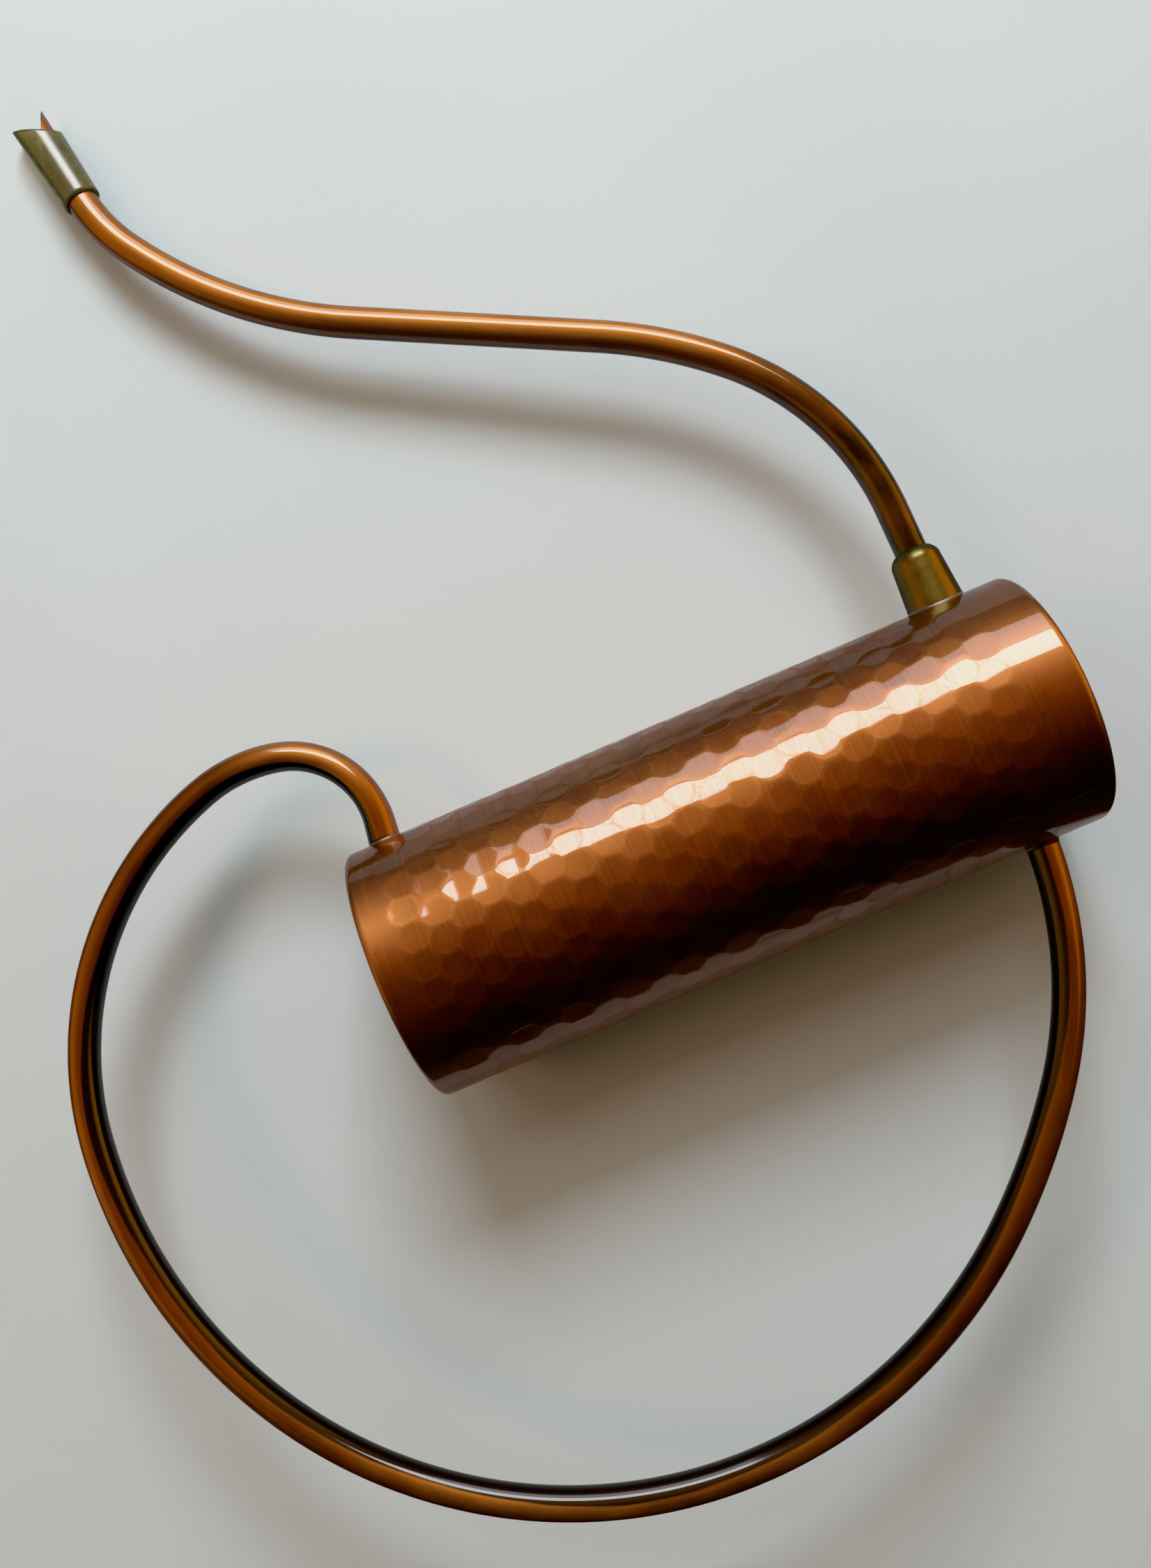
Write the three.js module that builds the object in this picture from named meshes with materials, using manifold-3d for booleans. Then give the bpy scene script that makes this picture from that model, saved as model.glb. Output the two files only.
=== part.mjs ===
// Copper watering can for house plants: a hammered cylinder with a looped tube handle, a
// swan-neck spout standing in a brass ferrule, and a plastic sleeve on the spout's cut tip.
// Millimetres, +Z up, +X towards the spout, origin at the centre of the flat base.
// Both tubes' centre lines lie in the XZ plane, and all but the sleeve's end is symmetric about it.
import * as THREE from 'three';
import { mergeVertices } from 'three/addons/utils/BufferGeometryUtils.js';
import Module from 'manifold-3d';

const GAP = 0.3; // clearance kept between soldered neighbours

// body
const BODY_RADIUS = 39;
const BODY_HEIGHT = 213;
const WALL = 1;
const BASE_CORNER = 2.5; // outer radius of the corner between wall and base
const BASE_LAND = BODY_RADIUS - BASE_CORNER; // where the shell's turned-in edge ends
const LIP_CORNER = 2; // outer radius of the turned-in mouth
const LIP_WIDTH = 1; // flat of the lip inside its corner
const BASE_PLATE_RADIUS = 35.2;
const SEAM_WIDTH = 0.7; // solder between base plate and shell
const SEAM_COVER = 2.2; // solder that ran over the plate's edge inside

// tubes
const TUBE_RADIUS = 5;
const BORE_RADIUS = 4.2;
const TUBE_SIDES = 16;
const BORE_SIDES = 12;

// handle: leaves the front wall just under the mouth and comes round to the rear wall
const HANDLE_TOP = 201.4; // height of the front joint
const HANDLE_HEADING = -6.3; // degrees from +X towards +Z
const HANDLE_STEPS = 78;
const HANDLE_BENDS = [
  { run: 5.8 },
  { radius: 28.7, sweep: 83.2 },
  { radius: 47.2, sweep: 30.7 },
  { radius: 99.7, sweep: 67.7 },
  { radius: 147.1, sweep: 135 },
  { radius: 202, sweep: 12.1 },
  { radius: 123.6, sweep: 33.3 },
];
const HANDLE_ROOT = 6; // how far each end runs on into the wall before it is coped

// spout: leaves the front wall level, rises, and levels out again at the height of the mouth
const SPOUT_HEIGHT = 19.7;
const SPOUT_STEPS = 54;
const SPOUT_INSIDE = 2.6; // length of tube behind the outer face of the wall
const SPOUT_BENDS = [
  { run: SPOUT_INSIDE + 32.3 },
  { radius: 87.1, sweep: 46.8 },
  { radius: 151.4, sweep: 15.7 },
  { run: 76.9 },
  { radius: 146.2, sweep: -30.8 },
  { radius: 60.1, sweep: -21.1 },
];

// tip: the last stretch is straight and is cut like a quill, point down
const TIP_LENGTH = 35.6;
const TIP_SPARE = 2; // tube beyond the point, which the knife takes off
const QUILL_TOP = 10.9;
const QUILL_BULGE = new THREE.Vector2(28.6, -4.6); // control point of the cut's curve
const KNIFE_OVERCUT = 0.6;

// sleeve on the tip
const SLEEVE_BASE = 6.05; // outer radius where it grips the tube
const SLEEVE_FLARE = 6.9; // outer radius at the far end
const SLEEVE_WALL = 0.75;
const SLEEVE_FLARE_WALL = 0.55;
const SLEEVE_LENGTH = 28.1; // along the axis
const SLEEVE_SLANT = 38.2; // degrees of the end cut from square
const SLEEVE_ROLL = 32; // degrees from the top round to the end's long side, toward +Y

// ferrule at the foot of the spout
const FERRULE_LENGTH = 18.7;
const FERRULE_FOOT = 8.75; // outer radius at the wall
const FERRULE_SHOULDER = 7.7;
const FERRULE_CROWN = 4.6; // radius of the rounded shoulder
const FERRULE_MOUTH = TUBE_RADIUS + GAP;

// solder fillets
const FILLET_WIDTH = 0.6;
const FILLET_HEIGHT = 0.7;
const FILLET_DEPTH = 4; // how far the uncut ring reaches back into the wall

const LATHE_FINE = 64;
const LATHE_SMALL = 32;
const CORNER_STEPS = 4;

const wasm = await Module();
wasm.setup();

const radians = THREE.MathUtils.degToRad;

// Centre line of a bent tube in the XZ plane, made of straight runs and tangent bends.
// A sweep is in degrees, positive when it turns from +X towards +Z.
class BentPath extends THREE.Curve {
  constructor(x, z, heading, pieces) {
    super();
    this.legs = [];
    this.end = new THREE.Vector2(x, z);
    this.heading = radians(heading);
    this.total = 0;
    pieces.forEach((piece) => this.extend(piece));
  }

  extend({ run, radius, sweep = 0 }) {
    const turn = radians(sweep);
    const leg = {
      from: this.end,
      heading: this.heading,
      start: this.total,
      curvature: radius ? Math.sign(turn) / radius : 0,
    };
    const length = run ?? radius * Math.abs(turn);
    this.legs.push(leg);
    this.end = BentPath.along(leg, length);
    this.heading += turn;
    this.total += length;
  }

  // The chord of an arc leaves at half the turn, whatever the arc's length.
  static along(leg, distance) {
    const turn = leg.curvature * distance;
    const chord = turn ? (2 * Math.sin(turn / 2)) / leg.curvature : distance;
    const direction = leg.heading + turn / 2;
    const step = new THREE.Vector2(Math.cos(direction), Math.sin(direction)).multiplyScalar(chord);
    return step.add(leg.from);
  }

  getPoint(t, target = new THREE.Vector3()) {
    const distance = t * this.total;
    const leg = this.legs.findLast((each) => each.start <= distance);
    const point = BentPath.along(leg, distance - leg.start);
    return target.set(point.x, 0, point.y);
  }
}

function signedVolume(geometry) {
  const position = geometry.getAttribute('position');
  const [a, b, c] = [new THREE.Vector3(), new THREE.Vector3(), new THREE.Vector3()];
  let volume = 0;
  for (let i = 0; i < geometry.index.count; i += 3) {
    a.fromBufferAttribute(position, geometry.index.getX(i));
    b.fromBufferAttribute(position, geometry.index.getX(i + 1));
    c.fromBufferAttribute(position, geometry.index.getX(i + 2));
    volume += a.dot(b.cross(c)) / 6;
  }
  return volume;
}

// A geometry with shared vertices and its faces pointing out.
function closed(geometry) {
  const bare = geometry.clone();
  bare.deleteAttribute('normal');
  bare.deleteAttribute('uv');
  const merged = mergeVertices(bare);
  if (signedVolume(merged) < 0) {
    merged.index.array.reverse();
  }
  return merged;
}

function toSolid(geometry) {
  const { index, attributes } = closed(geometry);
  const mesh = new wasm.Mesh({
    numProp: 3,
    vertProperties: new Float32Array(attributes.position.array),
    triVerts: new Uint32Array(index.array),
  });
  return new wasm.Manifold(mesh);
}

function toGeometry(solid) {
  const mesh = solid.getMesh();
  const geometry = new THREE.BufferGeometry();
  geometry.setAttribute('position', new THREE.BufferAttribute(mesh.vertProperties, 3));
  geometry.setIndex(new THREE.BufferAttribute(mesh.triVerts, 1));
  return geometry;
}

function subtract(geometry, ...cutters) {
  const solid = cutters.reduce((left, cutter) => left.subtract(toSolid(cutter)), toSolid(geometry));
  return toGeometry(solid);
}

function intersect(geometry, other) {
  return toGeometry(toSolid(geometry).intersect(toSolid(other)));
}

// Points of an arc of a (radius, height) profile, from one angle to another in degrees.
function corner(x, y, radius, from, to) {
  return Array.from({ length: CORNER_STEPS + 1 }, (_, i) => {
    const angle = radians(from + ((to - from) * i) / CORNER_STEPS);
    return new THREE.Vector2(x + radius * Math.cos(angle), y + radius * Math.sin(angle));
  });
}

function points(...pairs) {
  return pairs.map(([x, y]) => new THREE.Vector2(x, y));
}

// A solid of revolution about Z from a closed (radius, height) profile.
function revolve(profile, segments) {
  return new THREE.LatheGeometry([...profile, profile[0]], segments).rotateX(Math.PI / 2);
}

// The same about X, where the profile's second number runs along +X.
function revolveAlongX(profile, segments) {
  return new THREE.LatheGeometry([...profile, profile[0]], segments).rotateZ(-Math.PI / 2);
}

function polygon(radius, sides) {
  return Array.from({ length: sides }, (_, i) => {
    const angle = (2 * Math.PI * i) / sides;
    return new THREE.Vector2(radius * Math.cos(angle), radius * Math.sin(angle));
  });
}

function tube(path, steps) {
  const section = new THREE.Shape(polygon(TUBE_RADIUS, TUBE_SIDES));
  section.holes.push(new THREE.Path(polygon(BORE_RADIUS, BORE_SIDES)));
  return new THREE.ExtrudeGeometry(section, { steps, extrudePath: path });
}

// A round bar along Z, used to cope the pieces that stand on the wall.
function wallCylinder(radius) {
  const height = BODY_HEIGHT * 1.2;
  const bar = new THREE.CylinderGeometry(radius, radius, height, LATHE_FINE);
  return bar.rotateX(Math.PI / 2).translate(0, 0, BODY_HEIGHT / 2);
}

// A round bar along X at the spout's height.
function spoutDrill(radius) {
  const depth = 4 * WALL;
  const bar = new THREE.CylinderGeometry(radius, radius, depth, LATHE_SMALL);
  return bar.rotateZ(Math.PI / 2).translate(BODY_RADIUS - WALL / 2, 0, SPOUT_HEIGHT);
}

// Turns a geometry's +X to a heading in the XZ plane and moves it to a point there.
function aim(geometry, heading, x, z) {
  return geometry.rotateY(-heading).translate(x, 0, z);
}

// A ring of solder round a bar that meets the wall: a cone, coped to the wall's curve.
// Its axis runs out of the wall from (x, z) at the given heading.
function fillet(barRadius, heading, x, z) {
  const inner = barRadius + GAP;
  const slope = FILLET_WIDTH / FILLET_HEIGHT;
  const profile = points(
    [inner, -FILLET_DEPTH],
    [inner + FILLET_WIDTH + slope * FILLET_DEPTH, -FILLET_DEPTH],
    [inner + slope * GAP, FILLET_HEIGHT],
    [inner, FILLET_HEIGHT + GAP],
  );
  const ring = aim(revolveAlongX(profile, LATHE_SMALL), heading, x, z);
  return subtract(ring, wallCylinder(BODY_RADIUS + GAP));
}

function bodyShell() {
  const inner = BODY_RADIUS - WALL;
  const lipTop = BODY_HEIGHT - LIP_CORNER;
  const lipCentre = BODY_RADIUS - LIP_CORNER;
  const profile = [
    ...corner(BASE_LAND, BASE_CORNER, BASE_CORNER, -90, 0),
    ...corner(lipCentre, lipTop, LIP_CORNER, 0, 90),
    ...points([lipCentre - LIP_WIDTH, BODY_HEIGHT], [lipCentre - LIP_WIDTH, BODY_HEIGHT - WALL]),
    ...corner(lipCentre, lipTop, LIP_CORNER - WALL, 90, 0),
    ...corner(BASE_LAND, BASE_CORNER, inner - BASE_LAND, 0, -90),
  ];
  return subtract(revolve(profile, LATHE_FINE), spoutDrill(TUBE_RADIUS + GAP));
}

function basePlate() {
  const disc = new THREE.CylinderGeometry(BASE_PLATE_RADIUS, BASE_PLATE_RADIUS, WALL, LATHE_FINE);
  return disc.rotateX(Math.PI / 2).translate(0, 0, WALL / 2);
}

function baseSolderSeam() {
  const inner = BASE_PLATE_RADIUS + GAP;
  const outer = inner + SEAM_WIDTH;
  const over = WALL + GAP;
  const profile = points(
    [inner, GAP],
    [outer, GAP],
    [outer, over + SEAM_WIDTH],
    [outer - SEAM_COVER, over],
    [inner, over],
  );
  return revolve(profile, LATHE_FINE);
}

const handlePath = new BentPath(
  BODY_RADIUS - HANDLE_ROOT * Math.cos(radians(HANDLE_HEADING)),
  HANDLE_TOP - HANDLE_ROOT * Math.sin(radians(HANDLE_HEADING)),
  HANDLE_HEADING,
  [{ run: HANDLE_ROOT }, ...HANDLE_BENDS],
);
const handleFoot = { at: handlePath.end, heading: handlePath.heading };
handlePath.extend({ run: HANDLE_ROOT });

const spoutPath = new BentPath(BODY_RADIUS - SPOUT_INSIDE, SPOUT_HEIGHT, 0, SPOUT_BENDS);
const tip = { at: spoutPath.end, heading: spoutPath.heading };
spoutPath.extend({ run: TIP_LENGTH + TIP_SPARE });

function handleTube() {
  return subtract(tube(handlePath, HANDLE_STEPS), wallCylinder(BODY_RADIUS + GAP));
}

// The knife's edge is one curve from the top of the tube down and out to the point.
function quillKnife() {
  const reach = TUBE_RADIUS + KNIFE_OVERCUT;
  const beyond = TIP_LENGTH + TIP_SPARE + 2 * TUBE_RADIUS;
  const profile = new THREE.Shape();
  profile.moveTo(beyond, 2 * TUBE_RADIUS);
  profile.lineTo(QUILL_TOP, 2 * TUBE_RADIUS);
  profile.lineTo(QUILL_TOP, reach);
  profile.quadraticCurveTo(QUILL_BULGE.x, QUILL_BULGE.y, TIP_LENGTH + KNIFE_OVERCUT, -reach);
  profile.lineTo(TIP_LENGTH + KNIFE_OVERCUT, -2 * TUBE_RADIUS);
  profile.lineTo(beyond, -2 * TUBE_RADIUS);
  const width = 4 * TUBE_RADIUS;
  const knife = new THREE.ExtrudeGeometry(profile, {
    depth: width,
    bevelEnabled: false,
    curveSegments: 14,
  });
  knife.translate(0, 0, -width / 2).rotateX(Math.PI / 2);
  return aim(knife, tip.heading, tip.at.x, tip.at.y);
}

function spoutTube() {
  return subtract(tube(spoutPath, SPOUT_STEPS), quillKnife());
}

function spoutFerrule() {
  const crown = FERRULE_LENGTH - FERRULE_CROWN;
  const crownCentre = FERRULE_SHOULDER - FERRULE_CROWN;
  const rounded = corner(crownCentre, crown, FERRULE_CROWN, 0, 60);
  const mouth = rounded.at(-1);
  const profile = [
    ...points([FERRULE_MOUTH, -FILLET_DEPTH], [FERRULE_FOOT, -FILLET_DEPTH], [FERRULE_FOOT, 0]),
    ...rounded,
    ...points([FERRULE_MOUTH, mouth.y]),
  ];
  const bell = aim(revolveAlongX(profile, LATHE_SMALL), 0, BODY_RADIUS, SPOUT_HEIGHT);
  return subtract(bell, wallCylinder(BODY_RADIUS + GAP));
}

// Solder inside the can, round the end of the spout where it comes through the wall.
function spoutPortSolder() {
  const inner = TUBE_RADIUS + GAP;
  const profile = points(
    [inner, -SPOUT_INSIDE],
    [inner + FILLET_WIDTH, -SPOUT_INSIDE],
    [inner + 2 * FILLET_WIDTH, 0],
    [inner, 0],
  );
  const ring = aim(revolveAlongX(profile, LATHE_SMALL), 0, BODY_RADIUS, SPOUT_HEIGHT);
  return intersect(ring, wallCylinder(BODY_RADIUS - WALL - GAP));
}

// The sleeve is made along +X from its own origin, which its group puts on the tip.
function tipSleeve() {
  const full = SLEEVE_LENGTH + SLEEVE_FLARE;
  const profile = points(
    [SLEEVE_BASE - SLEEVE_WALL, 0],
    [SLEEVE_BASE, 0],
    [SLEEVE_FLARE, full],
    [SLEEVE_FLARE - SLEEVE_FLARE_WALL, full],
  );
  const side = 4 * SLEEVE_FLARE;
  const block = new THREE.BoxGeometry(side, side, 2 * side).translate(side / 2, 0, 0);
  block.rotateY(radians(SLEEVE_SLANT)).rotateX(radians(-SLEEVE_ROLL));
  aim(block, 0, SLEEVE_LENGTH, 0);
  return subtract(revolveAlongX(profile, LATHE_SMALL), block);
}

const finishes = {
  hammeredCopper: { color: 0xb87345, roughness: 0.3, metalness: 1 },
  tubeCopper: { color: 0xa85f33, roughness: 0.28, metalness: 1 },
  brass: { color: 0x8f7a3c, roughness: 0.4, metalness: 1 },
  solder: { color: 0xc9c7c2, roughness: 0.35, metalness: 1 },
  sleeve: { color: 0x7d7f4a, roughness: 0.25, metalness: 0, transparent: true, opacity: 0.7 },
};

function piece(name, geometry, finish) {
  const mesh = new THREE.Mesh(geometry, new THREE.MeshStandardMaterial(finishes[finish]));
  mesh.name = name;
  return mesh;
}

const can = new THREE.Group();
can.add(
  piece('body_shell', bodyShell(), 'hammeredCopper'),
  piece('base_plate', closed(basePlate()), 'hammeredCopper'),
  piece('base_solder_seam', closed(baseSolderSeam()), 'solder'),
  piece('handle_tube', handleTube(), 'tubeCopper'),
  piece(
    'handle_front_solder',
    fillet(TUBE_RADIUS, radians(HANDLE_HEADING), BODY_RADIUS, HANDLE_TOP),
    'solder',
  ),
  piece(
    'handle_rear_solder',
    fillet(TUBE_RADIUS, handleFoot.heading + Math.PI, handleFoot.at.x, handleFoot.at.y),
    'solder',
  ),
  piece('spout_tube', spoutTube(), 'tubeCopper'),
  piece('spout_ferrule', spoutFerrule(), 'brass'),
  piece('ferrule_solder', fillet(FERRULE_FOOT, 0, BODY_RADIUS, SPOUT_HEIGHT), 'solder'),
  piece('spout_port_solder', spoutPortSolder(), 'solder'),
);

const sleeveMount = new THREE.Group();
sleeveMount.position.set(tip.at.x, 0, tip.at.y);
sleeveMount.rotation.y = -tip.heading;
sleeveMount.add(piece('tip_sleeve', tipSleeve(), 'sleeve'));
can.add(sleeveMount);

export default can;
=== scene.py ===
"""Looks of a hammered copper watering can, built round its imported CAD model.

The can stands on the origin with its spout towards +X. The stage is the pale card that the can
lies against, a plane that touches the cylinder and the sleeve on the spout's tip.
"""
import math

import bpy
import numpy as np
from mathutils import Matrix, Vector

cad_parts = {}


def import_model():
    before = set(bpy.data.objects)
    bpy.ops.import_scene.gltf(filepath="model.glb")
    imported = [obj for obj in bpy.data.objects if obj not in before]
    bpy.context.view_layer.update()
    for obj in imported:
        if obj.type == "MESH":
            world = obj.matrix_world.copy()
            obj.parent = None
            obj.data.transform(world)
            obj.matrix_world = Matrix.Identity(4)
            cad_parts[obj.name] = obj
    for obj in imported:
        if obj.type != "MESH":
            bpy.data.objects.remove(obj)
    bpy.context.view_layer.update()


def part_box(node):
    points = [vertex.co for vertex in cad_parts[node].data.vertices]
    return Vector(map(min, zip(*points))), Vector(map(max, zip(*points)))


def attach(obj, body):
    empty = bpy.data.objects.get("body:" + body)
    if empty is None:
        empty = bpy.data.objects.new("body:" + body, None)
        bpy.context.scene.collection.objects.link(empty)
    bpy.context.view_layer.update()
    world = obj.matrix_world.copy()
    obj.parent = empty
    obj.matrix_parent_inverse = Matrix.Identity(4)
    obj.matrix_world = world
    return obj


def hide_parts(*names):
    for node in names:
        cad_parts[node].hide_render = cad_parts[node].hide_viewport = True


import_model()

MM = 0.001

# ---------------------------------------------------------------- sizes, from the CAD frame
SHELL_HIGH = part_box("body_shell")[1]
BODY_RADIUS = SHELL_HIGH.x
BODY_HEIGHT = SHELL_HIGH.z
PLATE_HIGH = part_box("base_plate")[1]
PLATE_RADIUS = PLATE_HIGH.x
WALL = PLATE_HIGH.z
TUBE_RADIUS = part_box("handle_tube")[1].y
SPOUT_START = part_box("spout_tube")[0].x
FERRULE_LOW, FERRULE_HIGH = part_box("spout_ferrule")
SPOUT_HEIGHT = (FERRULE_LOW.z + FERRULE_HIGH.z) / 2
FERRULE_FOOT = (FERRULE_HIGH.z - FERRULE_LOW.z) / 2
FERRULE_LENGTH = FERRULE_HIGH.x - BODY_RADIUS

# the rest repeats part.mjs
BASE_CORNER = 2.5 * MM
LIP_CORNER = 2 * MM
LIP_WIDTH = 1 * MM
BORE_RADIUS = 4.2 * MM
HANDLE_TOP = 201.4 * MM
HANDLE_HEADING = -6.3
HANDLE_BENDS = [
    {"run": 5.8 * MM},
    {"radius": 28.7 * MM, "sweep": 83.2},
    {"radius": 47.2 * MM, "sweep": 30.7},
    {"radius": 99.7 * MM, "sweep": 67.7},
    {"radius": 147.1 * MM, "sweep": 135},
    {"radius": 202 * MM, "sweep": 12.1},
    {"radius": 123.6 * MM, "sweep": 33.3},
]
SPOUT_BENDS = [
    {"run": BODY_RADIUS - SPOUT_START + 32.3 * MM},
    {"radius": 87.1 * MM, "sweep": 46.8},
    {"radius": 151.4 * MM, "sweep": 15.7},
    {"run": 76.9 * MM},
    {"radius": 146.2 * MM, "sweep": -30.8},
    {"radius": 60.1 * MM, "sweep": -21.1},
]
TIP_LENGTH = 35.6 * MM
# the quill cut runs along this curve, as (along the tip, above its axis)
QUILL_CURVE = np.array([(10.9, 5.6), (28.6, -4.6), (36.2, -5.6)]) * MM
SLEEVE_BASE = 6.05 * MM
SLEEVE_FLARE = 6.9 * MM
SLEEVE_WALL = 0.75 * MM
SLEEVE_FLARE_WALL = 0.55 * MM
SLEEVE_LENGTH = 28.1 * MM
SLEEVE_LIP = 0.05 * MM  # how far the cut end is crowned
SLEEVE_SLANT = math.radians(38.2)
SLEEVE_ROLL = math.radians(32)  # from the top round to the long side, toward +Y
FERRULE_SHOULDER = 7.7 * MM
FERRULE_CROWN = 4.6 * MM

# ---------------------------------------------------------------- fine shape and wear
OXIDE_EDGE = math.radians(72)  # how far the loop's dark oxide reaches round from its inner side
OXIDE_BLUR = 0.12  # half the width of the oxide's edge, in radians
HEAT_STAIN = (60 * MM, 150 * MM)  # the spout's heat stain fades out between these, along the tube
TIP_STAIN = (75 * MM, 10 * MM)  # it comes back over this stretch before the straight tip
UPPER_DARKENING = (1.55, 0.85)  # the spout is also made darker, fading in over this turn from its upper side, in radians
BEND_FLATTENING = 0.085  # how much the handle's tightest bend flattens the tube
SPOUT_FLATTENING = 0.03
BEND_BLEND = 9  # stations over which a bend's flattening fades in
HANDLE_SINK = 0.4 * MM  # how far the handle's ends are let into the wall

SOLDER_WIDTH = 0.45 * MM
SOLDER_HEIGHT = 0.5 * MM
SOLDER_ROOT = 0.25 * MM  # how far a fillet reaches under the bar and into the wall
SOLDER_EDGE = 0.05 * MM
PLATE_EDGE = 0.3 * MM
PLATE_HUB = 0.4 * MM  # radius of the small cap in the middle of the disc
SEAM_GAP = 0.02 * MM

# ---------------------------------------------------------------- hammering
DENT_SEED = 7
DENTS_ROUND = 29
DENT_COLUMNS = 22
DENT_FIRST = BODY_HEIGHT - 14.7 * MM
DENT_PITCH = 8.36 * MM
DENT_PHASE = math.radians(-91.9)
DENT_DEPTH = 0.160 * MM
DENT_LEAN = 0.042 * MM  # how far a blow may tilt, at the dent's edge
DENT_SHIFT = 0.18 * MM  # how far a blow may land off its place
DENT_UNEVEN = 0.15  # how much one blow's depth differs from the next
DENT_REACH = 1.2  # how far out a dish is worked out, in half widths
INSIDE_DENTS = 0.75  # how deep the marks show inside, against outside
# how narrow the painted ridge highlight is on either side of a crease
CREASE_LEAD = 0.045 * MM
CREASE_ROUND = 0.07 * MM  # two dents blend where their depths differ by less than this
DENT_HALF_ROUND = 4.5 * MM
DENT_HALF_ALONG = 4.9 * MM
SAMPLES_PER_DENT = 14
INSIDE_STATIONS = 110
JOINT_SMOOTH = (1.5 * MM, 5 * MM)  # the dents fade in between these distances from a joint

# ---------------------------------------------------------------- camera and stage
CAMERA_PLACE = Vector((-14.3, -441.0, 133.3)) * MM
CAMERA_TURN = math.radians(6.0)  # from +Y towards +X
CAMERA_TILT = math.radians(1.02)
CAMERA_ROLL = math.radians(113.1)
CAMERA_LENS = 33.55
LIGHT_DISTANCE = 2.0
CARD_SIZE = 1.7
CARD_GAP = 0.05 * MM
CARD_MIDDLE = Vector((36, 41, 142)) * MM  # middle and directions of the card that the metal mirrors
CARD_ACROSS = Vector((-0.39, 0.06, -0.92))
CARD_DOWN = Vector((-0.915, 0.09, 0.39))
CARD_HALF = (190 * MM, 256 * MM)
CARD_EDGE = 4 * MM
MIRRORED_CARD = 0.28  # by how much the metal sees the card darkened


# ================================================================ mesh helpers
def smoothstep(low, high, value):
    """0 up to low and 1 from high on, or the other way round where low is the larger."""
    t = np.clip((value - low) / (high - low), 0, 1)
    return t * t * (3 - 2 * t)


def finish_piece(name, rings, node, slot, body="can", closed=True, space=None):
    """A smooth mesh object from a ring grid, which rides on a body and stands for one CAD node."""
    mesh = bpy.data.meshes.new(name)
    mesh.from_pydata([tuple(v) for v in rings.reshape(-1, 3)], [], grid_faces(rings, closed))
    mesh.validate()
    mesh.update()
    mesh.shade_smooth()
    if space is not None:
        layer = mesh.attributes.new("tube_space", "FLOAT_VECTOR", "POINT")
        layer.data.foreach_set("vector", np.asarray(space, np.float32).ravel())
    mesh.materials.append(MATERIALS[slot])
    piece = bpy.data.objects.new(name, mesh)
    bpy.context.scene.collection.objects.link(piece)
    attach(piece, body)
    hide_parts(node)
    return piece


def loop_faces(stations, around, closed):
    """Quads of a grid that closes around, and also along when closed is true."""
    rows = np.arange(stations if closed else stations - 1)
    cols = np.arange(around)
    a = rows[:, None] * around + cols[None, :]
    b = rows[:, None] * around + (cols[None, :] + 1) % around
    c = ((rows[:, None] + 1) % stations) * around + (cols[None, :] + 1) % around
    d = ((rows[:, None] + 1) % stations) * around + cols[None, :]
    return np.stack([a, b, c, d], -1).reshape(-1, 4).tolist()


def grid_faces(rings, closed):
    """Faces of a ring grid, turned so that they point out. One that isn't closed has end caps."""
    stations, around = rings.shape[:2]
    faces = loop_faces(stations, around, closed)
    if not closed:
        faces.append(list(range(around))[::-1])
        faces.append([(stations - 1) * around + i for i in range(around)])
    points = rings.reshape(-1, 3)
    quads = np.array([f for f in faces if len(f) == 4])
    a, b, c, d = (points[quads[:, i]] for i in range(4))
    volume = np.einsum("ij,ij->i", a, np.cross(b, c)).sum()
    volume += np.einsum("ij,ij->i", a, np.cross(c, d)).sum()
    return [f[::-1] for f in faces] if volume < 0 else faces


def turned_by(angles, start):
    """How far angles are turned from a start, between half a turn back and half a turn on."""
    return np.angle(np.exp(1j * (angles - start)))


def arc(x, y, radius, start, end, steps):
    """Points of an arc of a profile, angles in degrees."""
    angles = np.radians(np.linspace(start, end, steps + 1))
    return np.stack([x + radius * np.cos(angles), y + radius * np.sin(angles)], -1)


def rounded(profile, radius, steps=3):
    """A closed profile with its corners rounded."""
    profile = np.asarray(profile, float)
    made = []
    for before, here, after in zip(np.roll(profile, 1, 0), profile, np.roll(profile, -1, 0)):
        cut = min(radius, 0.45 * np.linalg.norm(before - here), 0.45 * np.linalg.norm(after - here))
        start = here + (before - here) * cut / np.linalg.norm(before - here)
        end = here + (after - here) * cut / np.linalg.norm(after - here)
        for t in np.linspace(0, 1, steps + 1):
            made.append((1 - t) ** 2 * start + 2 * t * (1 - t) * here + t * t * end)
    return np.array(made)


def turn_round_z(profile, around):
    """Rings of a body of revolution about Z from (radius, height) pairs."""
    angles = np.linspace(0, 2 * np.pi, around, endpoint=False)
    profile = np.asarray(profile)
    x = profile[:, :1] * np.cos(angles)
    y = profile[:, :1] * np.sin(angles)
    z = np.repeat(profile[:, 1:2], around, 1)
    return np.stack([x, y, z], -1)


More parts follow.
